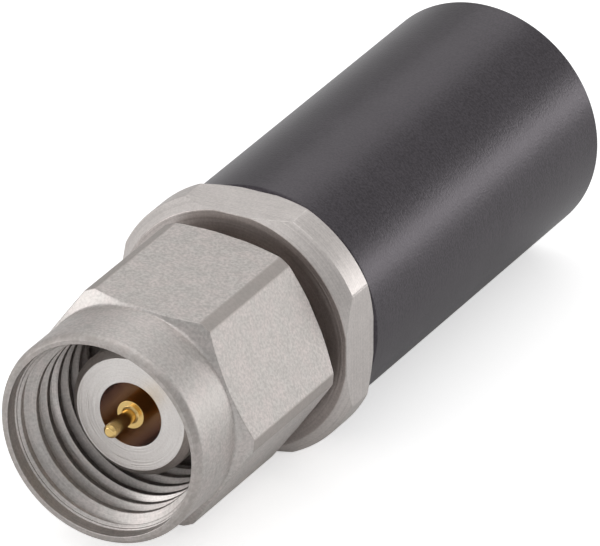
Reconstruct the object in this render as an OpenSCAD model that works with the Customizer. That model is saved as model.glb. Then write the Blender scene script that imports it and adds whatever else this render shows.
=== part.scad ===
// Coaxial short, 2.4 mm precision interface, male, millimetres.
// The axis lies along Y. The origin is the centre of the reference plane,
// which is the front face of the outer conductor. The mouth of the coupling
// nut faces -Y, the sleeve runs towards +Y, and one flat of the flange faces up.

/* [Overall] */
// Length from the mouth of the nut to the rear of the sleeve
overall_len = 28.4; // [25:0.1:34]

/* [Interface] */
// Bore of the outer conductor
line_bore_d = 2.4; // [2.2:0.05:2.6]
// Shoulder of the centre conductor, which sets a 50 ohm line
shoulder_d = 1.042; // [0.95:0.01:1.15]
// Centre pin
pin_d = 0.511; // [0.45:0.01:0.6]
// Reach of the pin in front of the reference plane
pin_reach = 1.5; // [1:0.05:1.7]
// Length of the cone at the tip of the pin
pin_tip = 0.1; // [0.05:0.01:0.2]
// Distance from the reference plane back to the short
short_offset = 6.75; // [6:0.05:7]

/* [Coupling nut] */
// Overall length of the nut
nut_len = 8.8; // [8.4:0.05:9]
// Distance from the mouth of the nut back to the reference plane
nut_recess = 2.2; // [2:0.05:2.4]
// Hexagon, across the flats
nut_af = 8; // [7.8:0.05:8.3]
// Hexagon, across the turned corners
nut_corner_d = 9; // [8.7:0.05:9.1]
// Round collar in front of the hexagon
collar_d = 7.85; // [7.5:0.05:7.95]
// Length of the collar
collar_len = 2.5; // [2:0.1:3]
// Slope of the turned faces at both ends of the hexagon
nut_cone_angle = 30; // [20:1:40]
// Height of the turned face at the rear of the hexagon
nut_rear_cone = 0.29; // [0.1:0.01:0.4]
// Curved bevel around the rim, along the axis
rim_bevel_len = 0.3; // [0.1:0.02:0.5]
// Curved bevel around the rim, across the radius
rim_bevel_w = 0.18; // [0.05:0.01:0.25]
// Inner edge break at the mouth
mouth_inner_break = 0.02; // [0.01:0.01:0.05]
// Counterbore at the mouth
lead_d = 7.16; // [7.12:0.01:7.3]
// Depth of the counterbore
lead_len = 0.5; // [0.4:0.01:0.8]
// Lip of the countersink behind the counterbore, where the thread begins
lip_d = 6.82; // [6.7:0.02:7]
// Hole at the roots of the coupling thread
thread_d = 7.15; // [7.1:0.01:7.2]
// Depth of the threaded hole from the mouth to the web
thread_depth = 5.6; // [5.4:0.05:5.8]
// Turn of the nut at rest, about its axis
nut_turn = 5; // [0:1:60]

/* [Retaining ring] */
// Width of the ring along the axis
ring_w = 0.6; // [0.4:0.05:0.7]
// Distance from the reference plane to the middle of the ring
ring_y = 4.6; // [4.4:0.05:4.8]
// Bite of the ring in the neck, and again in the nut
ring_bite = 0.25; // [0.2:0.01:0.3]
// Opening of the split in the ring
ring_split = 1.2; // [0.8:0.1:2]

/* [Connector body] */
// Front of the outer conductor
front_d = 4.7; // [4.5:0.05:4.75]
// Flat part of the reference face
face_d = 4.2; // [4:0.05:4.35]
// Length of the step from the reference plane back to the neck
front_len = 3.5; // [3.4:0.02:3.6]
// Neck that the nut turns on
neck_d = 5.5; // [5.4:0.02:5.6]
// Flange, across its round corners
flange_d = 9.9; // [9.6:0.05:10.2]
// Flange, across its wrench flats
flange_af = 8.95; // [8.7:0.05:9.3]
// Room between the rear of the nut and the front of the flange
flange_gap = 0.67; // [0.55:0.01:1]
// Thickness of the flange
flange_t = 2; // [1.6:0.05:2.4]
// Bevel at the front of the flange
flange_front_bevel = 0.45; // [0.3:0.05:0.6]
// Bevel at the back of the flange
flange_rear_bevel = 0.45; // [0.3:0.05:0.6]
// Spigot that carries the sleeve
spigot_d = 7.2; // [6.6:0.1:7.6]
// Length of the spigot behind the flange
spigot_len = 7.2; // [6:0.1:9]
// Lead chamfer at the end of the spigot
spigot_chamfer = 0.4; // [0.2:0.05:0.6]

/* [Short and its clamp] */
// Shorting disc
disc_d = 3.6; // [3.4:0.05:3.8]
// Thickness of the shorting disc
disc_t = 1.6; // [1.2:0.1:2]
// Tail of the centre conductor, held in the disc
tail_d = 0.8; // [0.6:0.05:0.9]
// Edge break around the disc
disc_break = 0.1; // [0.05:0.01:0.15]
// Clamp screw
clamp_d = 4.5; // [4.2:0.1:5]
// Length of the clamp screw
clamp_len = 3; // [2:0.1:4]
// Hexagon socket of the clamp screw, across its flats
socket_af = 2; // [1.5:0.1:2.5]
// Depth of the socket
socket_depth = 1.6; // [1:0.1:1.8]
// Edge break of the clamp screw
clamp_break = 0.25; // [0.1:0.05:0.4]

/* [Sleeve] */
// Outside of the sleeve
sleeve_d = 9.1; // [8.9:0.05:9.4]
// Edge break at the front of the sleeve
sleeve_front_break = 0.12; // [0.05:0.01:0.2]
// Edge break at the rear of the sleeve
sleeve_rear_break = 0.1; // [0.05:0.05:0.5]
// Air behind the end of the spigot
sleeve_air = 0.5; // [0.2:0.1:1]

/* [Clearances] */
// Radial running clearance of the nut on the neck
run_gap = 0.05; // [0.02:0.01:0.08]
// Radial room of the retaining ring in its two grooves
groove_gap = 0.06; // [0.02:0.01:0.1]
// Room of the retaining ring at each of its faces
face_gap = 0.05; // [0.02:0.01:0.08]
// Way that the nut can be pushed back along the neck
nut_float = 0.4; // [0.1:0.05:0.5]
// Radial gap at parts that are bonded, screwed or pressed together
seat_gap = 0.02; // [0.01:0.005:0.04]

/* [Hidden] */
$fn = 96;
// Length by which a cutting shape passes the face that it cuts
past = 1;
// Share of the rim's bevel between two corners of its curve
bevel_step = 0.25;
// Places along the axis
nut_mouth = -nut_recess;
nut_back = nut_mouth + nut_len;
hex_front = nut_mouth + collar_len;
web_front = nut_mouth + thread_depth;
flange_y = nut_back + flange_gap;
flange_back = flange_y + flange_t;
spigot_end = flange_back + spigot_len;
sleeve_end = nut_mouth + overall_len;
disc_back = short_offset + disc_t;
// Radii of the running and retaining surfaces
neck_r = neck_d / 2;
nut_bore_r = neck_r + run_gap;
ring_inner_r = neck_r - ring_bite;
ring_outer_r = nut_bore_r + ring_bite;
neck_groove_r = ring_inner_r - groove_gap;
nut_groove_r = ring_outer_r + groove_gap;
// Ends of the retaining ring, with the nut pushed forward
ring_front = ring_y - ring_w / 2;
ring_back = ring_y + ring_w / 2;
steel = [0.70, 0.69, 0.67];
gold = [0.85, 0.65, 0.30];
black = [0.20, 0.19, 0.20];

// A solid turned about the Y axis; each point is [distance along Y, radius]
module turned(profile) {
    rotate([-90, 0, 0])
        rotate_extrude() polygon([for (p = profile) [p[1], p[0]]]);
}

// A cylinder along Y from one place to another
module rod(from, to, r) {
    translate([0, from, 0]) rotate([-90, 0, 0]) cylinder(h = to - from, r = r);
}

// A hexagonal bar along Y, with flats facing up and down
module hex_bar(from, to, af) {
    translate([0, from, 0]) rotate([-90, 0, 0])
        cylinder(h = to - from, r = af / (2 * cos(30)), $fn = 6);
}

// Outline of the nut before its flats are cut
module nut_blank() {
    collar_r = collar_d / 2;
    corner_r = nut_corner_d / 2;
    front_rise = (corner_r - collar_r) * tan(nut_cone_angle);
    rear_drop = nut_rear_cone / tan(nut_cone_angle);
    rim = [
        for (s = [0 : bevel_step : 1])
            [nut_mouth + rim_bevel_len * s, collar_r - rim_bevel_w * pow(1 - s, 2)]
    ];
    turned(concat([[nut_mouth, 0]], rim, [
        [hex_front, collar_r],
        [hex_front + front_rise, corner_r],
        [nut_back - nut_rear_cone, corner_r],
        [nut_back, corner_r - rear_drop],
        [nut_back, 0]
    ]));
}

// Everything that is bored out of the nut from its mouth to its rear face
module nut_bore() {
    lead_r = lead_d / 2;
    lip_r = lip_d / 2;
    thread_r = thread_d / 2;
    lip_at = nut_mouth + lead_len + lead_r - lip_r;
    turned([
        [nut_mouth - past, 0],
        [nut_mouth - past, lead_r + mouth_inner_break + past],
        [nut_mouth + mouth_inner_break, lead_r],
        [nut_mouth + lead_len, lead_r],
        [lip_at, lip_r],
        [lip_at + thread_r - lip_r, thread_r],
        [web_front, thread_r],
        [web_front, nut_bore_r],
        [ring_front - face_gap, nut_bore_r],
        [ring_front - face_gap, nut_groove_r],
        [ring_back + face_gap, nut_groove_r],
        [ring_back + face_gap, nut_bore_r],
        [nut_back + past, nut_bore_r],
        [nut_back + past, 0]
    ]);
}

// The nut spins freely and is held by the retaining ring in its inner groove
module coupling_nut() {
    color(steel) difference() {
        intersection() {
            nut_blank();
            rotate([0, nut_turn, 0]) hex_bar(nut_mouth, nut_back, nut_af);
        }
        nut_bore();
    }
}

// Split spring ring, half in the groove of the neck and half in that of the nut
module retaining_ring() {
    color(steel) difference() {
        rod(ring_front, ring_back, ring_outer_r);
        rod(ring_front - past, ring_back + past, ring_inner_r);
        translate([-ring_split / 2, ring_front - past, 0])
            cube([ring_split, ring_w + 2 * past, ring_outer_r + past]);
    }
}

// Outer conductor, neck, flange and spigot are one turned piece
module connector_body() {
    flange_r = flange_d / 2;
    front_r = front_d / 2;
    face_r = face_d / 2;
    color(steel) difference() {
        intersection() {
            turned([
                [0, 0],
                [0, face_r],
                [front_r - face_r, front_r],
                [front_len, front_r],
                [front_len, neck_r],
                [flange_y, neck_r],
                [flange_y, flange_r - flange_front_bevel],
                [flange_y + flange_front_bevel, flange_r],
                [flange_back - flange_rear_bevel, flange_r],
                [flange_back, flange_r - flange_rear_bevel],
                [flange_back, spigot_d / 2],
                [spigot_end - spigot_chamfer, spigot_d / 2],
                [spigot_end, spigot_d / 2 - spigot_chamfer],
                [spigot_end, 0]
            ]);
            translate([-flange_af / 2, 0, -flange_af / 2])
                cube([flange_af, spigot_end, flange_af]);
        }
        rod(-past, short_offset + past, line_bore_d / 2);
        rod(short_offset, disc_back + past, disc_d / 2 + seat_gap);
        rod(disc_back, spigot_end + past, clamp_d / 2 + seat_gap);
        neck_groove();
    }
}

// Groove of the neck, long enough for the ring to travel with the nut
module neck_groove() {
    difference() {
        rod(ring_front - face_gap, ring_back + face_gap + nut_float, neck_r + past);
        rod(ring_front - past, ring_back + past + nut_float, neck_groove_r);
    }
}

// Pin, shoulder and tail are one turned piece
module centre_conductor() {
    pin_r = pin_d / 2;
    color(gold) turned([
        [-pin_reach, 0],
        [-pin_reach, pin_r - pin_tip],
        [-pin_reach + pin_tip, pin_r],
        [0, pin_r],
        [0, shoulder_d / 2],
        [short_offset, shoulder_d / 2],
        [short_offset, tail_d / 2],
        [disc_back, tail_d / 2],
        [disc_back, 0]
    ]);
}

// Disc that closes the line; its front face is the short
module shorting_disc() {
    color(gold) difference() {
        turned([
            [short_offset, 0],
            [short_offset, disc_d / 2],
            [disc_back - disc_break, disc_d / 2],
            [disc_back, disc_d / 2 - disc_break],
            [disc_back, 0]
        ]);
        rod(short_offset - past, disc_back + past, tail_d / 2 + seat_gap);
    }
}

// Grub screw that presses the disc against its seat
module clamp_screw() {
    clamp_end = disc_back + clamp_len;
    clamp_r = clamp_d / 2;
    color(steel) difference() {
        turned([
            [disc_back, 0],
            [disc_back, clamp_r - clamp_break],
            [disc_back + clamp_break, clamp_r],
            [clamp_end - clamp_break, clamp_r],
            [clamp_end, clamp_r - clamp_break],
            [clamp_end, 0]
        ]);
        hex_bar(clamp_end - socket_depth, clamp_end + past, socket_af);
    }
}

// Anodised sleeve, bored from the front and closed at the rear
module sleeve() {
    sleeve_r = sleeve_d / 2;
    bore_r = spigot_d / 2 + seat_gap;
    color(black) difference() {
        turned([
            [flange_back, 0],
            [flange_back, sleeve_r - sleeve_front_break],
            [flange_back + sleeve_front_break, sleeve_r],
            [sleeve_end - sleeve_rear_break, sleeve_r],
            [sleeve_end, sleeve_r - sleeve_rear_break],
            [sleeve_end, 0]
        ]);
        rod(flange_back - past, spigot_end + sleeve_air, bore_r);
    }
}

coupling_nut();
retaining_ring();
connector_body();
centre_conductor();
shorting_disc();
clamp_screw();
sleeve();
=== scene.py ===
# %% [markdown]
# # Dressing a coaxial short
#
# A coaxial short is the plug that closes a microwave line with a mirror: deep inside it, a disc
# joins the inner conductor to the outer one, so that every wave that enters comes back. This
# lesson takes the plug's solids, which arrive at their true size and place, and gives each one
# the surface and the finish that the eye sees: a tumbled steel nut with a real thread, a turned
# and milled body, a gold pin and a black anodised sleeve.
#
# All shapes are worked out in millimetres, along an axis that runs in the Y direction. The origin
# is the centre of the reference plane, where two mated connectors touch.

# %% Load the solids
import math

import bmesh
import bpy
import numpy as np
from mathutils import Matrix, Vector


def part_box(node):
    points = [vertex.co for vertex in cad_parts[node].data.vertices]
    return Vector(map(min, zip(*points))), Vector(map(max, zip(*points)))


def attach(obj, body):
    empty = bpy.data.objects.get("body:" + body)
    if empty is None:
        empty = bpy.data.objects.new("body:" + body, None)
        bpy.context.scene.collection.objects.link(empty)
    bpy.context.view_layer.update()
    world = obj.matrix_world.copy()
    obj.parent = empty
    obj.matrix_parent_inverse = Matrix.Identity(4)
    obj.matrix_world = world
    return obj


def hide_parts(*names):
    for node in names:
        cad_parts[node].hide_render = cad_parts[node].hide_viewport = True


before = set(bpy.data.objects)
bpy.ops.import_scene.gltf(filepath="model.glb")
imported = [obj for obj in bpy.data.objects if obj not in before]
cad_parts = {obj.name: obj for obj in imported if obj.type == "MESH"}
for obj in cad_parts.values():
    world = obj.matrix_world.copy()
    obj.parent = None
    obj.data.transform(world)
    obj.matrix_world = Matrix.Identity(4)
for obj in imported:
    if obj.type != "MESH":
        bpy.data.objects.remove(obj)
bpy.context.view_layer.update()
MM = 0.001

print("solids:", ", ".join(sorted(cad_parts)))

# %% [markdown]
# ## Where things lie along the axis
#
# The new surfaces have to sit exactly where the solids sit. Their places could be typed in once
# more, but the loaded solids already hold the main ones, so they are asked for them. What a box
# can't tell, such as the depth of a chamfer, is written down beside the piece that needs it.


# %% Read the main places from the solids
def span(node, axis):
    """Lowest and highest coordinate of a solid along X, Y or Z (axis 0, 1 or 2), in millimetres."""
    low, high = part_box(node)
    return low[axis] / MM, high[axis] / MM


NUT_MOUTH, NUT_BACK = span("coupling_nut", 1)
RING_FRONT, RING_BACK = span("retaining_ring", 1)
PIN_TIP, DISC_BACK = span("centre_conductor", 1)
SHORT_PLANE = span("shorting_disc", 1)[0]
SPIGOT_END = span("connector_body", 1)[1]
FLANGE_BACK, SLEEVE_END = span("sleeve", 1)
SLEEVE_R = span("sleeve", 0)[1]
FLANGE_FLAT = span("connector_body", 0)[1]
SHOULDER_R = span("centre_conductor", 0)[1]
print(f"nut {NUT_MOUTH:.2f} to {NUT_BACK:.2f}, sleeve {FLANGE_BACK:.2f} to {SLEEVE_END:.2f}")
print(f"sleeve radius {SLEEVE_R:.3f}, flange flat at {FLANGE_FLAT:.3f} mm")

# %% [markdown]
# ## The camera
#
# The plug was photographed from far away through a long lens, so parallel edges stay almost
# parallel. The camera could be pushed about by hand until the view fits, but then nobody could
# say where it stands. So it is placed by the direction it looks from: the azimuth turns it round
# the upright axis, and the elevation lifts it above the table. Its three axes follow from these
# two angles, and its place is the point it aims at plus a step back along its own axis.

# %% Place the camera
AZIMUTH = math.radians(28.4)
ELEVATION = math.radians(26.8)
AIM = Vector((4.723, 3.442, 5.027)) * MM
STEP_BACK = 400 * MM
LENS, SENSOR = 706, 36
NEAREST_SEEN = 10 * MM


def camera_axes(azimuth, elevation):
    """Right, up and back of a level camera.

    Right lies in the table's plane. Back is sin(elevation) upwards less cos(elevation) ahead, and
    up is the cross product of back and right.
    """
    right = Vector((math.cos(azimuth), math.sin(azimuth), 0))
    ahead = Vector((-math.sin(azimuth), math.cos(azimuth), 0))
    back = Vector((0, 0, math.sin(elevation))) - ahead * math.cos(elevation)
    return right, back.cross(right), back


right, up, back = camera_axes(AZIMUTH, ELEVATION)
lens = bpy.data.cameras.new("long_lens")
lens.lens, lens.sensor_width, lens.clip_start = LENS, SENSOR, NEAREST_SEEN
camera = bpy.data.objects.new("camera", lens)
bpy.context.collection.objects.link(camera)
turned_to_plug = Matrix((right, up, back)).transposed().to_4x4()
camera.matrix_world = Matrix.Translation(AIM + back * STEP_BACK) @ turned_to_plug
bpy.context.scene.camera = camera
print("camera stands at", [round(v, 4) for v in camera.matrix_world.translation])

# %% [markdown]
# ## Shader maths as Python
#
# A material is a small formula over the surface. Writing it as nodes one by one hides the
# formula, so a thin class wraps the output of a node and turns `a * b + c` into Math nodes.
# Every other kind of node comes from one method, which sets the node's own settings first,
# because they decide which sockets it has, and then its inputs.


# %% A wire that knows arithmetic
class Wire:
    """The output of a shader node, for Python arithmetic with numbers and other wires."""

    def __init__(self, tree, socket):
        self.tree = tree
        self.socket = socket

    def math(self, operation, first, second=0.0):
        inputs = {"Value": first, "Value_001": second}
        return self.tree.wire("ShaderNodeMath", {"operation": operation}, inputs)

    def __add__(self, other):
        return self.math("ADD", self, other)

    def __radd__(self, other):
        return self.math("ADD", other, self)

    def __sub__(self, other):
        return self.math("SUBTRACT", self, other)

    def __rsub__(self, other):
        return self.math("SUBTRACT", other, self)

    def __mul__(self, other):
        return self.math("MULTIPLY", self, other)

    def __rmul__(self, other):
        return self.math("MULTIPLY", other, self)

    def __pow__(self, other):
        return self.math("POWER", self, other)

    def __abs__(self):
        return self.math("ABSOLUTE", self)

    def larger(self, other):
        return self.math("MAXIMUM", self, other)

    def step(self, low, high):
        """0 below low, 1 above high, and a smooth rise between them."""
        settings = {"interpolation_type": "SMOOTHSTEP"}
        inputs = {"Value": self, "From Min": low, "From Max": high}
        return self.tree.wire("ShaderNodeMapRange", settings, inputs)


# %% A tree that makes any node in one way
class Tree:
    """A node tree that is filled by type, settings and inputs, in that order."""

    def __init__(self, owner):
        owner.use_nodes = True
        self.nodes = owner.node_tree.nodes
        self.links = owner.node_tree.links
        self.nodes.clear()

    def node(self, kind, settings, inputs):
        made = self.nodes.new(kind)
        for name, value in settings.items():
            setattr(made, name, value)
        sockets = {socket.identifier: socket for socket in made.inputs}
        for name, value in inputs.items():
            if isinstance(value, Wire):
                self.links.new(value.socket, sockets[name])
            else:
                sockets[name].default_value = value
        return made

    def wire(self, kind, settings, inputs, output=0):
        return Wire(self, self.node(kind, settings, inputs).outputs[output])

    def mix(self, factor, first, second):
        """Blend of two colours: first where factor is 0, second where it is 1."""
        inputs = {"Factor_Float": factor, "A_Color": first, "B_Color": second}
        blend = self.node("ShaderNodeMix", {"data_type": "RGBA"}, inputs)
        return Wire(self, next(out for out in blend.outputs if out.identifier == "Result_Color"))

    def vector(self, x, y, z):
        return self.wire("ShaderNodeCombineXYZ", {}, {"X": x, "Y": y, "Z": z})

    def dot(self, vector, direction):
        """Length of a vector along a fixed direction."""
        inputs = {"Vector": vector, "Vector_001": direction}
        return self.wire("ShaderNodeVectorMath", {"operation": "DOT_PRODUCT"}, inputs, "Value")

    def noise(self, vector, detail):
        """Noise of about 0.5 on average. Each unit of the vector is one grain."""
        inputs = {"Vector": vector, "Scale": 1.0, "Detail": detail, "Roughness": 0.6}
        return self.wire("ShaderNodeTexNoise", {}, inputs, "Fac")

    def ray(self, kind):
        """1 for a ray of that kind, such as Camera or Glossy, and 0 for any other."""
        return self.wire("ShaderNodeLightPath", {}, {}, f"Is {kind} Ray")

    def seen(self):
        """1 for what the camera sees, by itself or through something clear."""
        return self.ray("Camera").larger(self.ray("Transmission"))

    def place(self):
        """X, Y and Z of the surface point in millimetres, from the piece's own coordinates."""
        point = self.wire("ShaderNodeTexCoord", {}, {}, "Object")
        inputs = {"Vector": point, "Scale": 1 / MM}
        scaled = self.wire("ShaderNodeVectorMath", {"operation": "SCALE"}, inputs)
        parts = self.node("ShaderNodeSeparateXYZ", {}, {"Vector": scaled})
        return [Wire(self, socket) for socket in parts.outputs]

    def finish(self, shader):
        self.node("ShaderNodeOutputMaterial", {}, {"Surface": shader})


# %% [markdown]
# ## The table and the light
#
# The object lies on white paper in a white room. A mirror-like part shows nothing but its room,
# so the room is what gives steel its greys: white paper below, walls in half light, a brighter
# ceiling, and three softboxes. Two stand behind the plug, one high and one low, and draw the long
# streaks on the sleeve; the third stands low on the left and lights the bevels that face it. A
# lamp in the ceiling draws the bright line where the nut's collar meets its cone, and a dark
# doorway on the right gives the round of the nut's rim its thin dark line.
#
# A picture of a real studio, wrapped round the world, would do all this too. A formula is chosen
# because each of its parts can be moved alone until its streak lies where it should.
#
# The camera sees white where it sees no object. Reflections see the same room with its soft
# gradient, and the light that falls on the object is a plain, even one.


# %% A direction in the room
def toward(azimuth, elevation):
    """Unit vector to a place in the room; azimuth 0 is the -Y side, 90 the +X side."""
    a, e = math.radians(azimuth), math.radians(elevation)
    return Vector((math.sin(a) * math.cos(e), -math.cos(a) * math.cos(e), math.sin(e)))


# %% The room
WALLS, CEILING, CEILING_LAMP, DOORWAY = 0.48, 0.72, 1.7, 0.15
AMBIENT = 0.72
CEILING_EDGE, LAMP_EDGE, DOORWAY_EDGE = (0.55, 0.85), (0.86, 0.96), (0.93, 0.975)
DOORWAY_AT = toward(82, 12)

world = bpy.data.worlds.new("white_room")
bpy.context.scene.world = world
room = Tree(world)
direction = room.wire("ShaderNodeTexCoord", {}, {}, "Generated")
rise = room.dot(direction, (0, 0, 1))
overhead, zenith = rise.step(*CEILING_EDGE), rise.step(*LAMP_EDGE)
doorway = room.dot(direction, DOORWAY_AT).step(*DOORWAY_EDGE)
gradient = (
    WALLS
    + overhead * (CEILING - WALLS)
    + zenith * (CEILING_LAMP - CEILING)
    - doorway * (WALLS - DOORWAY)
)
seen, mirrored = room.seen(), room.ray("Glossy")
level = seen + (1 - seen) * (mirrored * gradient + (1 - mirrored) * AMBIENT)
sky = room.wire("ShaderNodeBackground", {}, {"Color": (1, 1, 1, 1), "Strength": level})
room.node("ShaderNodeOutputWorld", {}, {"Surface": sky})
print("room with", len(room.nodes), "nodes")

# %% The softboxes
SOFTBOX_AWAY = 0.5


def softbox(name, azimuth, elevation, width, height, brightness):
    """A soft rectangle of light that faces the plug. Its power is radiance times area times pi."""
    lamp = bpy.data.lights.new(name, "AREA")
    lamp.shape, lamp.size, lamp.size_y = "RECTANGLE", width, height
    lamp.energy = brightness * width * height * math.pi
    holder = bpy.data.objects.new(name, lamp)
    bpy.context.collection.objects.link(holder)
    way = toward(azimuth, elevation)
    holder.location = way * SOFTBOX_AWAY
    holder.rotation_euler = way.to_track_quat("Z", "Y").to_euler()
    holder.visible_camera = False


softbox("high_back_box", -165, 36, 0.22, 0.16, 0.97)
softbox("low_back_strip", 142, 5, 0.34, 0.10, 3.6)
softbox("left_box", -52, 14, 0.36, 0.25, 1.8)

# %% [markdown]
# A narrow bore is lit only by light that is thrown from wall to wall many times on its way in
# and out. Blender gives up on a mirrored ray after four bounces, and the bore of the plug would
# stay black. A lamp inside the bore would be a cheat that shows at the next angle, so a mirrored
# ray is followed for twelve bounces instead.

# %% Follow light into the bore
bpy.context.scene.cycles.glossy_bounces = 12
print("a mirrored ray is followed for", bpy.context.scene.cycles.glossy_bounces, "bounces")

# %% [markdown]
# The paper is one large square that touches the lowest line of the sleeve. In the picture it has
# to be pure white, and more light on it would bleach the plug as well. So the paper gets a glow
# of its own, which the camera sees and mirrors hardly do, and it still darkens where the plug
# shades it. Seen from below it is clear, so that it never hides the plug.

# %% The paper
PAPER_HALF = 3.0

corner = np.array([(-1, -1), (1, -1), (1, 1), (-1, 1)]) * PAPER_HALF
table = np.column_stack([corner, np.full(4, -SLEEVE_R * MM)])
paper = bpy.data.meshes.new("paper")
paper.from_pydata(table.tolist(), [], [(0, 1, 2, 3)])
floor = bpy.data.objects.new("floor", paper)
bpy.context.collection.objects.link(floor)
print(f"paper at z = {-SLEEVE_R:.2f} mm")

# %% The white of the paper
PAPER_WHITE = (0.90, 0.90, 0.90, 1)
SEEN_LIFT, MIRRORED_LIFT = 0.55, 0.02

white_paper = bpy.data.materials.new("white_paper")
sheet = Tree(white_paper)
glow = sheet.seen() * SEEN_LIFT + sheet.ray("Glossy") * MIRRORED_LIFT
matt = sheet.wire("ShaderNodeBsdfDiffuse", {}, {"Color": PAPER_WHITE})
lift = sheet.wire("ShaderNodeEmission", {}, {"Strength": glow})
both = sheet.wire("ShaderNodeAddShader", {}, {"Shader": matt, "Shader_001": lift})
clear = sheet.wire("ShaderNodeBsdfTransparent", {}, {})
from_below = sheet.wire("ShaderNodeNewGeometry", {}, {}, "Backfacing") * sheet.ray("Camera")
choice = {"Fac": from_below, "Shader": both, "Shader_001": clear}
sheet.finish(sheet.wire("ShaderNodeMixShader", {}, choice))
paper.materials.append(white_paper)
print("paper finish:", len(sheet.nodes), "nodes")

# %% [markdown]
# ## Turned surfaces as grids
#
# Almost every piece here came off a lathe, so its surface is a function of two parameters: how
# far a point is along the section, and the angle round the axis. The section is a list of
# corners. On a turned piece each corner is one pair of numbers; where flats were milled
# afterwards, the same corner moves with the angle, and it is an array with a value per column.
# Blender's Screw modifier turns a drawn section too, but it knows nothing of such flats.
#
# No real edge is perfectly sharp, and a dead sharp edge in a render gives itself away, because
# it catches no light. So each corner is replaced by a short parabola, and a spare row on either
# side keeps the flat faces flat in the shading.

# %% Sections with broken edges
LARGEST_SHARE = 0.22
SHORTEST_SIDE = 1e-9


def section(points, angles):
    """Corner rows as an array (corner, column, 2) of distance along the axis and radius."""
    rows = [[np.broadcast_to(value, angles.shape) for value in point] for point in points]
    return np.array(rows).transpose(0, 2, 1)


def break_edges(corners, trim, steps=4):
    """Replace every corner P by the parabola (1-s)^2 A + 2 s (1-s) P + s^2 B.

    A and B lie one trim length before and after P on the sides of the section, and at most the
    largest share of a side away, so that neighbouring rounds never meet. One more row lies two
    trims out. The trim is one length for all corners, or a list with a length for each.
    """
    to_last = np.roll(corners, 1, axis=0) - corners
    to_next = np.roll(corners, -1, axis=0) - corners
    last_len = np.linalg.norm(to_last, axis=-1, keepdims=True)
    next_len = np.linalg.norm(to_next, axis=-1, keepdims=True)
    room_for_it = LARGEST_SHARE * np.minimum(last_len, next_len)
    cut = np.minimum(np.reshape(trim, (-1, 1, 1)), room_for_it)
    a = cut * to_last / np.maximum(last_len, SHORTEST_SIDE)
    b = cut * to_next / np.maximum(next_len, SHORTEST_SIDE)
    s = np.linspace(0, 1, steps + 1)[:, None, None, None]
    arc = corners + (1 - s) ** 2 * a + s**2 * b
    rows = np.concatenate([(corners + 2 * a)[None], arc, (corners + 2 * b)[None]])
    return rows.transpose(1, 0, 2, 3).reshape(-1, *corners.shape[1:])


# %% Grids into faces
def sweep_round(rows, angles):
    """Point of a turned surface: x = r sin(angle), z = r cos(angle), y along the axis."""
    y, r = rows[..., 0], rows[..., 1]
    return np.stack([r * np.sin(angles), y, r * np.cos(angles)], axis=-1)


def grid_faces(rows, columns, closed_rows):
    """Quads between neighbouring rows and columns, as an array; the columns always close."""
    i = np.arange(rows if closed_rows else rows - 1)[:, None]
    j = np.arange(columns)[None, :]
    i2, j2 = (i + 1) % rows, (j + 1) % columns
    quads = [i * columns + j, i2 * columns + j, i2 * columns + j2, i * columns + j2]
    return np.stack(np.broadcast_arrays(*quads), axis=-1).reshape(-1, 4)


def signed_volume(points, faces):
    """Sum of the tetrahedra from the origin to both halves of each quad.

    It is positive where the faces look outwards.
    """
    p = points[faces]
    first = np.einsum("ij,ij->i", p[:, 0], np.cross(p[:, 1], p[:, 2]))
    second = np.einsum("ij,ij->i", p[:, 0], np.cross(p[:, 2], p[:, 3]))
    return (first.sum() + second.sum()) / 6


# %% Faces into pieces
MERGED_WITHIN = 1e-5 * MM


def grid_piece(name, grid, body, closed_rows=True, sharp=40):
    """Make a closed grid of points, in millimetres, into a piece that rides on a body."""
    rows, columns = grid.shape[:2]
    points, faces = grid.reshape(-1, 3), grid_faces(rows, columns, closed_rows)
    volume = signed_volume(points, faces)
    faces = faces if volume > 0 else faces[:, ::-1]
    mesh = bpy.data.meshes.new(name)
    mesh.from_pydata((points * MM).tolist(), [], faces.tolist())
    merged = bmesh.new()
    merged.from_mesh(mesh)
    bmesh.ops.remove_doubles(merged, verts=merged.verts, dist=MERGED_WITHIN)
    merged.to_mesh(mesh)
    merged.free()
    mesh.shade_smooth()
    mesh.set_sharp_from_angle(angle=math.radians(sharp))
    piece = bpy.data.objects.new(name, mesh)
    bpy.context.collection.objects.link(piece)
    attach(piece, body)
    print(f"{name}: {len(mesh.polygons)} faces, {abs(volume):.1f} mm3")
    return piece


# %% [markdown]
# ## Flats milled off a round blank
#
# A nut starts as a round blank, and its flats are milled off it. A boolean cut would copy that
# step, but it leaves thin slivers of faces that shade badly. The grid can do it by a formula:
# seen along the axis, a flat whose middle lies at angle c cuts the radius down to
# h / cos(angle - c), and what the flats leave of the blank stays round. The columns of the grid
# stand exactly on the long edges, with a few more close by that carry a small round over each.

# %% The outline of a milled bar
EDGE_BREAK = 0.015
EDGE_COLUMNS = np.radians([-0.55, -0.35, -0.17, 0, 0.17, 0.35, 0.55])


def milled_angles(facets, half_flats, blank_r, turn, across, around):
    """Angles of the columns: even steps across each flat and round each corner, dense at edges."""
    sector = 2 * math.pi / facets
    edge = math.acos(half_flats / blank_r)
    flat = np.arctan(np.linspace(-1, 1, across + 2)[1:-1] * math.tan(edge))
    rest = np.linspace(edge, sector - edge, around + 2)[1:-1]
    one = np.concatenate([flat, edge + EDGE_COLUMNS, rest, sector - edge + EDGE_COLUMNS])
    return (turn + one[None, :] + sector * np.arange(facets)[:, None]).ravel()


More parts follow.
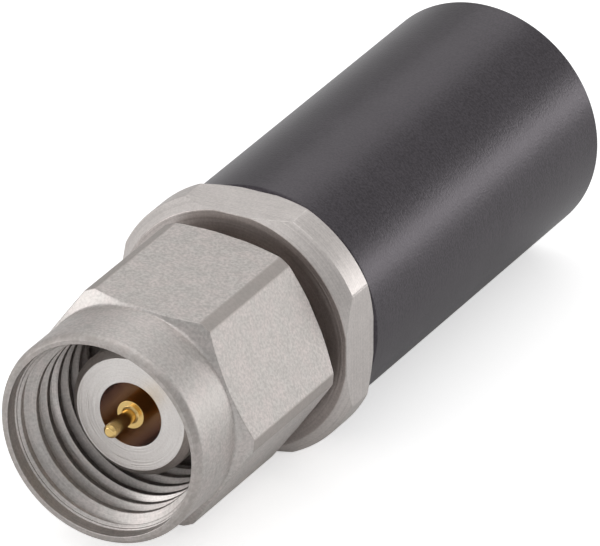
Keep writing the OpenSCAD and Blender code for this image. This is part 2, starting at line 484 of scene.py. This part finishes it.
def milled_radius(angles, facets, half_flats, blank_r, turn):
    """The smaller of h / cos(angle from the flat's middle) and the blank's radius.

    Where the two differ by less than the edge break, a parabola joins them.
    """
    sector = 2 * math.pi / facets
    off = (angles - turn + sector / 2) % sector - sector / 2
    flat = half_flats / np.cos(off)
    near = np.clip(1 - np.abs(flat - blank_r) / EDGE_BREAK, 0, 1)
    return np.minimum(flat, blank_r) - EDGE_BREAK * near**2 / 4


# %% [markdown]
# ## The coupling nut
#
# The nut is what the hand and the wrench turn. From the front it has a thin rim that bends
# round into its collar, and a hexagon whose corners were turned down before the flats were
# milled, so that cone and flat meet in six shallow arches. Inside are a shallow counterbore at
# the mouth, a countersink that narrows to a lip, the wall that carries the thread, a web, and
# the bore that runs on the neck, with the groove of the retaining ring.
#
# The arches could be drawn as curves and joined to the flats. They need no modelling of their
# own here: in each column, the cone simply ends where its radius reaches that of the bar.

# %% Sizes of the nut
NUT_TURN = math.radians(5)
HALF_HEX = 4.0
CORNER_R = 4.5
COLLAR_R, COLLAR_LEN = 3.925, 2.5
CONE_SLOPE = math.tan(math.radians(30))
REAR_CONE = 0.29
RIM_BEVEL_LEN, RIM_BEVEL_W, RIM_INNER_BREAK = 0.3, 0.18, 0.02
LEAD_R, LEAD_LEN = 3.58, 0.5
CONE_RING_R, CONE_RING_AT, CONE_RING_W = 3.525, 0.545, 0.035
LIP_R, LIP_AT = 3.41, 0.67
THREAD_ROOT_R, THREAD_DEPTH = 3.575, 5.6
NUT_BORE_R, RING_GROOVE_R = 2.8, 3.11
FACE_GAP = 0.05
SMALL_BREAK, COLLAR_FILLET = 0.03, 0.11
print(f"{2 * HALF_HEX:.1f} mm across the flats, {2 * CORNER_R:.1f} mm across the corners")

# %% Work out the nut's section
nut_angles = milled_angles(6, HALF_HEX, CORNER_R, NUT_TURN, across=13, around=2)
bar_r = milled_radius(nut_angles, 6, HALF_HEX, CORNER_R, NUT_TURN)
hex_front = NUT_MOUTH + COLLAR_LEN
rear_r = CORNER_R - REAR_CONE / CONE_SLOPE
web_front = NUT_MOUTH + THREAD_DEPTH

bevel = np.linspace(0, 1, 9)
rim_y = NUT_MOUTH + RIM_BEVEL_LEN * bevel
rim_radius = COLLAR_R - RIM_BEVEL_W * (1 - bevel) ** 2
nut_outside = [
    *zip(rim_y, rim_radius),
    (hex_front, COLLAR_R),
    (hex_front + (bar_r - COLLAR_R) * CONE_SLOPE, bar_r),
    (NUT_BACK - np.maximum((bar_r - rear_r) * CONE_SLOPE, SMALL_BREAK), bar_r),
    (NUT_BACK, np.minimum(rear_r, bar_r - SMALL_BREAK)),
]
nut_inside = [
    (NUT_BACK, NUT_BORE_R),
    (RING_BACK + FACE_GAP, NUT_BORE_R),
    (RING_BACK + FACE_GAP, RING_GROOVE_R),
    (RING_FRONT - FACE_GAP, RING_GROOVE_R),
    (RING_FRONT - FACE_GAP, NUT_BORE_R),
    (web_front, NUT_BORE_R),
    (web_front, THREAD_ROOT_R),
    (NUT_MOUTH + LIP_AT + (THREAD_ROOT_R - LIP_R) * CONE_SLOPE, THREAD_ROOT_R),
    (NUT_MOUTH + LIP_AT, LIP_R),
    (NUT_MOUTH + CONE_RING_AT + CONE_RING_W, CONE_RING_R),
    (NUT_MOUTH + CONE_RING_AT, CONE_RING_R),
    (NUT_MOUTH + LEAD_LEN, LEAD_R),
    (NUT_MOUTH + RIM_INNER_BREAK, LEAD_R),
    (NUT_MOUTH, LEAD_R + RIM_INNER_BREAK),
]
print(f"the bar's radius runs from {bar_r.min():.3f} to {bar_r.max():.3f} mm")

# %% Build the nut
nut_corners = section(nut_outside + nut_inside, nut_angles)
nut_trims = np.full(len(nut_corners), SMALL_BREAK)
nut_trims[len(rim_y)] = COLLAR_FILLET
nut_rows = break_edges(nut_corners, nut_trims)
nut = grid_piece("nut_shell", sweep_round(nut_rows, nut_angles), "nut")
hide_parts("coupling_nut")

# %% [markdown]
# ## The coupling thread
#
# The thread is M7 with a pitch of 0.75 mm. Cutting it into the nut's grid would need columns
# that follow the helix, so the ridge is a piece of its own: a trapezoid carried along a helix,
# with its foot sunk a hair into the wall. Both ends run out to nothing over part of a turn,
# as the tool leaves them.

# %% Sizes of the thread
PITCH = 0.75
FLANK_SLOPE = math.tan(math.radians(30))
ROOT_FLAT, CREST_FLAT = 0.11, 0.21
RIDGE_HEIGHT = (PITCH - ROOT_FLAT - CREST_FLAT) / 2 / FLANK_SLOPE
FOOT_DEPTH = 0.06
CREST_BREAK = 0.025
THREAD_START, THREAD_END = math.radians(60), math.radians(2120)
FIRST_TURN_AT = 1.016
RUN_OUT = math.radians(70)
ENDING_HEIGHT, ENDING_WIDTH = 0.02, 0.3
COLUMNS_PER_TURN = 120
print(f"crest at radius {THREAD_ROOT_R - RIDGE_HEIGHT:.3f} mm")

# %% Carry the ridge along its helix
half_foot = (PITCH - ROOT_FLAT) / 2
foot_reach = FOOT_DEPTH * FLANK_SLOPE
ridge = np.array([
    (-half_foot - foot_reach, -FOOT_DEPTH),
    (-CREST_FLAT / 2, RIDGE_HEIGHT),
    (CREST_FLAT / 2, RIDGE_HEIGHT),
    (half_foot + foot_reach, -FOOT_DEPTH),
])
ridge_rows = break_edges(ridge[:, None, :], CREST_BREAK, steps=3)[:, 0, :]
ridge_along, ridge_up = ridge_rows[:, 0, None], ridge_rows[:, 1, None]

# Point of the ridge at helix angle t: x = r sin(t), z = r cos(t), and y is the pitch times the
# turns made so far plus the place across the ridge. The fade falls to 0 at both ends.
turns = (THREAD_END - THREAD_START) / (2 * math.pi)
helix = np.linspace(THREAD_START, THREAD_END, int(turns * COLUMNS_PER_TURN))
fade = np.clip(np.minimum(helix - THREAD_START, THREAD_END - helix) / RUN_OUT, 0, 1)
height = (FOOT_DEPTH + ridge_up) * (ENDING_HEIGHT + (1 - ENDING_HEIGHT) * fade) - FOOT_DEPTH
advance = NUT_MOUTH + FIRST_TURN_AT + PITCH * (helix - THREAD_START) / (2 * math.pi)
along = advance + ridge_along * (ENDING_WIDTH + (1 - ENDING_WIDTH) * fade)
radius = THREAD_ROOT_R - height
thread_grid = np.stack([radius * np.sin(helix), along, radius * np.cos(helix)], axis=-1)
print(f"{turns:.1f} turns, {len(helix)} columns")


# %% Close the ends of the ridge
def tube_piece(name, grid, body):
    """A tube whose rows run along it and whose columns go round it.

    Each end is closed by shrinking its ring of points to their middle.
    """
    ends = grid[[0, -1]].mean(axis=1, keepdims=True).repeat(grid.shape[1], axis=1)
    closed = np.concatenate([ends[:1], grid, ends[1:]])
    return grid_piece(name, closed, body, closed_rows=False, sharp=50)


thread = tube_piece("nut_thread", thread_grid.transpose(1, 0, 2), "nut")

# %% [markdown]
# ## The connector body
#
# Outer conductor, neck, flange and spigot are one turned piece. Only its front end and the rim
# of the flange can be seen, and the rest could be left out. But the nut slides on its neck, and
# a piece with holes where nobody looks is of no use to the next person, so it is made whole: the
# ring face that meets the mating connector, the neck with its groove, the spigot inside the
# sleeve and the bores behind. Its four wrench flats are milled so deep that in their middle
# nothing is left of the bevels at the flange's two edges.

# %% Sizes of the body
LINE_R = 1.2
FACE_R, FRONT_R, FRONT_LEN = 2.1, 2.35, 3.5
NECK_R, NECK_GROOVE_R = 2.75, 2.44
FLOAT = 0.4
FLANGE_R, FLANGE_Y = 4.95, 7.27
FLANGE_BEVEL = 0.45
SPIGOT_R, SPIGOT_CHAMFER = 3.6, 0.4
DISC_SEAT_R, CLAMP_BORE_R = 1.82, 2.27
FINE_BREAK = 0.02
print(f"line bore {2 * LINE_R:.3f} mm, flange {2 * FLANGE_R:.2f} mm")

# %% Work out the body's section
body_angles = milled_angles(4, FLANGE_FLAT, FLANGE_R, 0, across=17, around=13)
rim_r = milled_radius(body_angles, 4, FLANGE_FLAT, FLANGE_R, 0)
bevel_foot = FLANGE_R - FLANGE_BEVEL
bevel_rise = np.maximum(rim_r - bevel_foot, SMALL_BREAK)

body_outside = [
    (0, LINE_R),
    (0, FACE_R),
    (FRONT_R - FACE_R, FRONT_R),
    (FRONT_LEN, FRONT_R),
    (FRONT_LEN, NECK_R),
    (RING_FRONT - FACE_GAP, NECK_R),
    (RING_FRONT - FACE_GAP, NECK_GROOVE_R),
    (RING_BACK + FACE_GAP + FLOAT, NECK_GROOVE_R),
    (RING_BACK + FACE_GAP + FLOAT, NECK_R),
    (FLANGE_Y, NECK_R),
    (FLANGE_Y, rim_r - bevel_rise),
    (FLANGE_Y + bevel_rise, rim_r),
    (FLANGE_BACK - bevel_rise, rim_r),
    (FLANGE_BACK, rim_r - bevel_rise),
    (FLANGE_BACK, SPIGOT_R),
    (SPIGOT_END - SPIGOT_CHAMFER, SPIGOT_R),
    (SPIGOT_END, SPIGOT_R - SPIGOT_CHAMFER),
]
body_inside = [
    (SPIGOT_END, CLAMP_BORE_R),
    (DISC_BACK, CLAMP_BORE_R),
    (DISC_BACK, DISC_SEAT_R),
    (SHORT_PLANE, DISC_SEAT_R),
    (SHORT_PLANE, LINE_R),
]
print(f"the flange's bevel rises {bevel_rise.min():.2f} to {bevel_rise.max():.2f} mm")

# %% Build the body
body_rows = break_edges(section(body_outside + body_inside, body_angles), FINE_BREAK)
body = grid_piece("body_shell", sweep_round(body_rows, body_angles), "short_body")
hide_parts("connector_body")

# %% [markdown]
# ## The centre conductor
#
# The gold plated inner conductor is the smallest turned piece: a pin with a chamfered tip and a
# small fillet at its root, the shoulder that carries the line, and the tail that sits in the
# shorting disc. Three cylinders pushed into each other would be quicker, but it is one turned
# piece, and the fillet at the pin's root is what shows that. Both ends of the section lie on the
# axis, where all columns meet in one point.

# %% Build the centre conductor
PIN_R, PIN_CHAMFER, PIN_FILLET, TAIL_R = 0.2555, 0.1, 0.07, 0.4
pin_angles = np.linspace(0, 2 * math.pi, 96, endpoint=False)
pin_points = [
    (PIN_TIP, 0),
    (PIN_TIP, PIN_R - PIN_CHAMFER),
    (PIN_TIP + PIN_CHAMFER, PIN_R),
    (-PIN_FILLET, PIN_R),
    (0, PIN_R + PIN_FILLET),
    (0, SHOULDER_R),
    (SHORT_PLANE, SHOULDER_R),
    (SHORT_PLANE, TAIL_R),
    (DISC_BACK, TAIL_R),
    (DISC_BACK, 0),
]


def solid_rows(points, angles, trim, steps=4):
    """Rows of a section that starts and ends on the axis; its end corners stay single points."""
    corners = section(points, angles)
    rounded = break_edges(corners, trim, steps)
    per_corner = steps + 3
    return np.concatenate([corners[:1], rounded[per_corner:-per_corner], corners[-1:]])


pin_grid = sweep_round(solid_rows(pin_points, pin_angles, FINE_BREAK), pin_angles)
pin = grid_piece("gold_conductor", pin_grid, "short_body", closed_rows=False)
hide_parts("centre_conductor")

# %% [markdown]
# ## The sleeve
#
# The sleeve is a long cap of black anodised aluminium, bored from the front and closed at the
# rear. It is the largest surface of the plug, and its two small edge breaks are all that shapes
# it. A cylinder from Blender's own menu would look the same from most sides; the grid is used
# once more because it gives the bore and the edge breaks in the same few lines.

# %% Build the sleeve
SLEEVE_FRONT_BREAK, SLEEVE_REAR_BREAK = 0.12, 0.1
SLEEVE_BORE_R, SLEEVE_AIR = 3.62, 0.5
SLEEVE_ROUND = 0.05
sleeve_angles = np.linspace(0, 2 * math.pi, 288, endpoint=False)
sleeve_points = [
    (SLEEVE_END, 0),
    (SLEEVE_END, SLEEVE_R - SLEEVE_REAR_BREAK),
    (SLEEVE_END - SLEEVE_REAR_BREAK, SLEEVE_R),
    (FLANGE_BACK + SLEEVE_FRONT_BREAK, SLEEVE_R),
    (FLANGE_BACK, SLEEVE_R - SLEEVE_FRONT_BREAK),
    (FLANGE_BACK, SLEEVE_BORE_R),
    (SPIGOT_END + SLEEVE_AIR, SLEEVE_BORE_R),
    (SPIGOT_END + SLEEVE_AIR, 0),
]
sleeve_rows = solid_rows(sleeve_points, sleeve_angles, SLEEVE_ROUND)
sleeve_grid = sweep_round(sleeve_rows, sleeve_angles)
sleeve = grid_piece(
    "black_sleeve", sleeve_grid, "short_body", closed_rows=False
)
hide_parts("sleeve")

# %% [markdown]
# ## Marks that a lathe leaves
#
# A turned surface carries fine rings, because the tool moves on a little at each turn. Rings a
# few thousandths of a millimetre high would need millions of faces, so they are left to the
# material, whose bump tilts the light without moving the surface. On a cylinder they follow the
# distance along the axis, and on a face they follow the radius, so noise that is read at
# (radius, distance) gives both. A little of the angle is mixed in, so that no ring is perfectly
# even. All heights are true ones, in millimetres.

# %% Shared patterns
ANGLE_SHARE = 0.8


def polar(tree):
    """X, Y, Z, radius and angle of the surface point, in millimetres and radians."""
    x, y, z = tree.place()
    radius = (x * x + z * z) ** 0.5
    angle = tree.wire("ShaderNodeMath", {"operation": "ARCTAN2"}, {"Value": x, "Value_001": z})
    return x, y, z, radius, angle


def rings(tree, radius, y, angle, per_mm, detail=2.0):
    """Noise that is drawn out into rings round the axis, with that many rings in a millimetre."""
    return tree.noise(tree.vector(radius * per_mm, y * per_mm, angle * ANGLE_SHARE), detail)


def grain(tree, x, y, z, per_mm, detail=2.0):
    """Even noise in all directions, with that many grains in a millimetre."""
    return tree.noise(tree.vector(x * per_mm, y * per_mm, z * per_mm), detail)


def speckles(tree, x, y, z, per_mm, detail=2.0):
    """Grain whose middle tones are thinned out, which leaves light and dark spots."""
    return grain(tree, x, y, z, per_mm, detail).step(0.3, 0.7)


def surface(tree, height_mm, inputs):
    """A principled shader whose bump comes from a height in millimetres."""
    bumped = tree.wire("ShaderNodeBump", {}, {"Strength": 1.0, "Distance": MM, "Height": height_mm})
    return tree.wire("ShaderNodeBsdfPrincipled", {}, {"Normal": bumped, **inputs})


# %% [markdown]
# Most pieces change their finish from one region to the next. Each region could get a material
# slot of its own, but then every border would be a row of faces. A mask is a number that is 1
# inside the region and 0 outside it, worked out from distance and radius. It rises over a few
# hundredths of a millimetre, the way that one finish runs into another.


# %% Masks for the regions of a piece
def past(value, edge, rise=0.02):
    """0 up to an edge, 1 from a rise further on, and a smooth ramp between; all in millimetres."""
    return value.step(edge, edge + rise)


def reached(value, surface_at):
    """1 where a value has reached a surface, counted from a little under it."""
    return past(value, surface_at - 0.03)


# %% [markdown]
# ## Steel of the nut
#
# The nut was tumbled after milling, which leaves a fine even grain on its flats, while collar,
# rim and cones still show the lathe. A picture of real steel could be wrapped round it, but it
# would show its seams and its pixels. Noise that is read at the point's own place has neither,
# and it runs on over every edge. The flats are found by a formula: a point lies on a flat where
# its distance along one of three directions reaches half the size across the flats.

# %% Find the regions of the nut
CONE_LEN, RIM_ROUND_AT = 0.3, 0.1


def nut_regions(x, y, z, radius):
    """Masks for the flats, the front cone, the rim's bevel, the turned corners and the inside.

    Inside is all that is nearer to the axis than the rim's inner edge.
    """
    reach = 0.0
    for k in range(3):
        c = NUT_TURN + k * math.pi / 3
        reach = abs(x * math.sin(c) + z * math.cos(c)).larger(reach)
    on_flat = reached(reach, HALF_HEX) * past(y, hex_front, 0.1)
    cone_ends = past(y, hex_front + CONE_LEN, 0.04)
    on_cone = (1 - on_flat) * past(y, hex_front - 0.02, 0.04) * (1 - cone_ends)
    outside = past(radius, LEAD_R + 0.01)
    rim_ends = past(y, NUT_MOUTH + RIM_ROUND_AT, RIM_BEVEL_LEN - RIM_ROUND_AT)
    on_bevel = (1 - rim_ends) * outside
    on_corner = reached(radius, CORNER_R)
    return on_flat, on_cone, on_bevel, on_corner, 1 - outside


# %% Finish the nut
# The second colour is darker: painted shade on the turned corners and the rim's bevel, and wear on
# the bevel.
NUT_DARK, NUT_SHADE_AND_WEAR = (0.46, 0.43, 0.413, 1), (0.42, 0.38, 0.355, 1)
NUT_LIGHTS = (0.78, 0.755, 0.725, 1), (0.81, 0.745, 0.72, 1)
SPECKLES_PER_MM, CLOUDS_PER_MM, BLOTCHES_PER_MM, MARKS_PER_MM = 9.5, 1.5, 4.5, 22
SPECKLE_HEIGHT, MARK_HEIGHT = 0.003, 0.0022


def nut_steel():
    material = bpy.data.materials.new("nut_steel")
    tree = Tree(material)
    x, y, z, radius, angle = polar(tree)
    on_flat, on_cone, on_bevel, on_corner, inside = nut_regions(x, y, z, radius)

    # What covers it: fine grain, wide clouds, blotches of wear, and the lathe's rings.
    speckle = speckles(tree, x, y, z, SPECKLES_PER_MM, 3.0)
    cloud = grain(tree, x, y, z, CLOUDS_PER_MM)
    blotch = grain(tree, x, y, z, BLOTCHES_PER_MM, 3.0).step(0.35, 0.65)
    marks = rings(tree, radius, y, angle, MARKS_PER_MM)

    # A tone from dark to light, and a darker colour that paints shade on the turned corners and on
    # the rim's bevel, with blotches of wear mixed in on the bevel; the two are put together.
    tone = (
        0.37
        + inside * 0.07
        + (speckle - 0.5) * (0.42 + 0.1 * on_flat)
        + (marks - 0.5) * (0.3 + 0.6 * inside) * (1 - on_flat)
        + (cloud - 0.5) * 0.3
    )
    steel = tree.mix(tone, NUT_DARK, tree.mix(cloud.step(0.35, 0.65), *NUT_LIGHTS))
    # Painted shade: the darker colour covers the corners at 0.6 and the bevel at 0.2, and blotches
    # of wear add up to 0.4 more on the bevel.
    shade_and_wear = (on_bevel * (0.2 + blotch * 0.4)).larger(on_corner * 0.6)
    rough = 0.52 + on_flat * 0.05 - on_cone * 0.14 - inside * 0.10 + speckle * 0.05
    turned = marks * (MARK_HEIGHT + inside * 0.002) + speckle * 0.001
    height = speckle * on_flat * SPECKLE_HEIGHT + (1 - on_flat) * turned
    inputs = {
        "Base Color": tree.mix(shade_and_wear, steel, NUT_SHADE_AND_WEAR),
        "Metallic": 1.0,
        "Roughness": rough,
    }
    tree.finish(surface(tree, height, inputs))
    return material


nut_finish = nut_steel()
nut.data.materials.append(nut_finish)
thread.data.materials.append(nut_finish)
print("nut finish:", len(nut_finish.node_tree.nodes), "nodes")

# %% [markdown]
# ## Steel of the body
#
# The body is turned finer than the nut. Its ring face is the working surface of the plug and
# the brightest steel here, with clear rings round the bore. The four flats of the flange were
# milled across the axis, so their lines run the same way as the rings, but straight. The bore
# is plated and smooth. Its grey leans a little towards violet, because light leaves it only after
# many bounces between wall and gold, and each bounce off gold takes away some of the blue. One
# steel could serve for the whole body, but these finishes side by side tell how it was made.


# %% Find the regions of the body
def body_regions(x, y, z, radius):
    """Masks for the flange's flats, the front end, the ring face, the bore and the gap.

    The gap mask covers the neck and the flange's front face between nut and flange, where a darker
    colour paints their shade.
    """
    on_flat = reached(abs(x).larger(abs(z)), FLANGE_FLAT)
    on_front = 1 - past(y, 0.0, 0.05)
    on_shield = on_front * (1 - past(radius, FACE_R - 0.01))
    in_line = past(y, 0.01) * (1 - past(radius, LINE_R + 0.03))
    in_gap = (1 - past(y, FLANGE_Y + 0.01)) * past(y, FRONT_LEN, 0.1)
    return on_flat, on_front, on_shield, in_line, in_gap


# %% Finish the body
TURNED = (0.50, 0.468, 0.45, 1), (0.83, 0.78, 0.753, 1)
LAPPED = (0.74, 0.70, 0.675, 1), (1.0, 0.965, 0.94, 1)
# The third pair is darker: painted shade for the neck and the flange's front face between nut and
# flange.
NECK_PAINTED_SHADE = (0.42, 0.38, 0.365, 1), (0.78, 0.715, 0.685, 1)
PLATED = (0.735, 0.69, 0.75, 1), (0.875, 0.838, 0.90, 1)


def body_steel():
    material = bpy.data.materials.new("body_steel")
    tree = Tree(material)
    x, y, z, radius, angle = polar(tree)
    on_flat, on_front, on_shield, in_line, in_gap = body_regions(x, y, z, radius)

    # What covers it: fine and broad rings, grain and clouds.
    ringing = rings(tree, radius * (1 - on_flat), y, angle, 20).step(0.25, 0.75)
    broad = rings(tree, radius, y, angle, 5, 1.0)
    speckle = speckles(tree, x, y, z, 12)
    cloud = grain(tree, x, y, z, 1.2)
    tone = ringing * 0.3 + speckle * 0.25 + cloud * 0.25 + broad * 0.2

    colour = tree.mix(on_shield, tree.mix(tone, *TURNED), tree.mix(tone, *LAPPED))
    # In the gap between nut and flange, the neck and the flange face take a darker colour: painted
    # shade.
    colour = tree.mix(in_gap, colour, tree.mix(tone, *NECK_PAINTED_SHADE))
    colour = tree.mix(in_line, colour, tree.mix(tone, *PLATED))
    rough = 0.45 - on_shield * 0.15 - in_line * 0.27 - in_gap * 0.13 + ringing * 0.06
    ring_height = 0.0022 + on_flat * 0.002 + on_shield * 0.004 + in_gap * 0.001
    height = ringing * ring_height + on_front * broad * 0.003
    inputs = {"Base Color": colour, "Metallic": 1.0, "Roughness": rough}
    tree.finish(surface(tree, height, inputs))
    return material


body_finish = body_steel()
body.data.materials.append(body_finish)
print("body finish:", len(body_finish.node_tree.nodes), "nodes")

# %% [markdown]
# ## Gold plate
#
# Gold is plated over finely turned metal, so it is smoother than the steel, and it keeps a
# trace of the rings under it. A single colour with a low roughness would pass for gold too, but
# a pin half a millimetre thick shows only a few highlights, and the rings are what breaks them
# up. The shorting disc inside is plated in the same way.

# %% Finish the gold
GOLD = (0.80, 0.52, 0.17, 1), (0.97, 0.72, 0.32, 1)


def gold_plate():
    material = bpy.data.materials.new("gold_plate")
    tree = Tree(material)
    x, y, z, radius, angle = polar(tree)
    marks = rings(tree, radius, y, angle, 30)
    cloud = grain(tree, x, y, z, 4)
    inputs = {
        "Base Color": tree.mix(marks * 0.4 + cloud * 0.6, *GOLD),
        "Metallic": 1.0,
        "Roughness": 0.20 + marks * 0.08,
    }
    tree.finish(surface(tree, marks * 0.0012, inputs))
    return material


gold_finish = gold_plate()
pin.data.materials.append(gold_finish)
print("gold finish:", len(gold_finish.node_tree.nodes), "nodes")

# %% [markdown]
# ## Black anodised aluminium
#
# Anodising grows a hard clear layer over the metal, and dye fills it with black. The layer
# shines like lacquer, but its grain, left by the turning and the etching bath, spreads every
# reflection into a soft band. A metal under a coat would be the literal copy of it. No metal
# shows through this much dye, though, so an almost black base with the layer's own index of
# refraction is enough. The dye is never quite neutral: the sheen has a touch of violet.

# %% Finish the sleeve
DYED = (0.004, 0.0036, 0.0042, 1), (0.072, 0.065, 0.073, 1)
LAYER_IOR = 1.47
VIOLET_SHEEN = (1.0, 0.88, 1.0, 1)


def black_anodised():
    material = bpy.data.materials.new("black_anodised")
    tree = Tree(material)
    x, y, z, radius, angle = polar(tree)
    marks = rings(tree, radius, y, angle, 16)
    etch = speckles(tree, x, y, z, 12)
    cloud = grain(tree, x, y, z, 0.5)
    inputs = {
        "Base Color": tree.mix(marks * 0.3 + etch * 0.45 + cloud * 0.25, *DYED),
        "Roughness": 0.29 + etch * 0.06,
        "IOR": LAYER_IOR,
        "Specular Tint": VIOLET_SHEEN,
    }
    tree.finish(surface(tree, etch * 0.0025 + marks * 0.002, inputs))
    return material


sleeve_finish = black_anodised()
sleeve.data.materials.append(sleeve_finish)
print("sleeve finish:", len(sleeve_finish.node_tree.nodes), "nodes")

# %% [markdown]
# ## What stays inside
#
# The retaining ring, the shorting disc and the clamp screw are closed in by the nut and the
# sleeve. They could be built anew like the rest, but nobody would see the difference. So their
# solids stay and only get a finish: drawn spring wire, gold plate, and plain steel.

# %% Finish the inner solids
SPRING_WIRE = (0.42, 0.41, 0.39, 1), (0.62, 0.60, 0.58, 1)
SCREW_STEEL = (0.38, 0.38, 0.38, 1), (0.56, 0.56, 0.56, 1)


def plain_steel(name, tones, roughness, per_mm):
    """Steel with that many rings in a millimetre, between a dark and a light tone."""
    material = bpy.data.materials.new(name)
    tree = Tree(material)
    x, y, z, radius, angle = polar(tree)
    marks = rings(tree, radius, y, angle, per_mm)
    speckle = grain(tree, x, y, z, 8)
    inputs = {
        "Base Color": tree.mix(marks * 0.6 + speckle * 0.4, *tones),
        "Metallic": 1.0,
        "Roughness": roughness + speckle * 0.1,
    }
    tree.finish(surface(tree, marks * 0.003, inputs))
    return material


def repaint(node, material):
    """Give a loaded solid another finish; its mesh stays as it is."""
    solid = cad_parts[node]
    solid.data.materials.clear()
    solid.data.materials.append(material)


repaint("retaining_ring", plain_steel("ring_steel", SPRING_WIRE, 0.3, 14))
repaint("clamp_screw", plain_steel("screw_steel", SCREW_STEEL, 0.35, 12))
repaint("shorting_disc", gold_finish)
print("finishes:", sorted(m.name for m in bpy.data.materials if m.users))

# %% [markdown]
# ## Finish
#
# The picture is taken with the Standard view, so that a colour renders as it is written.

# %% Set the view
bpy.context.scene.view_settings.view_transform = "Standard"
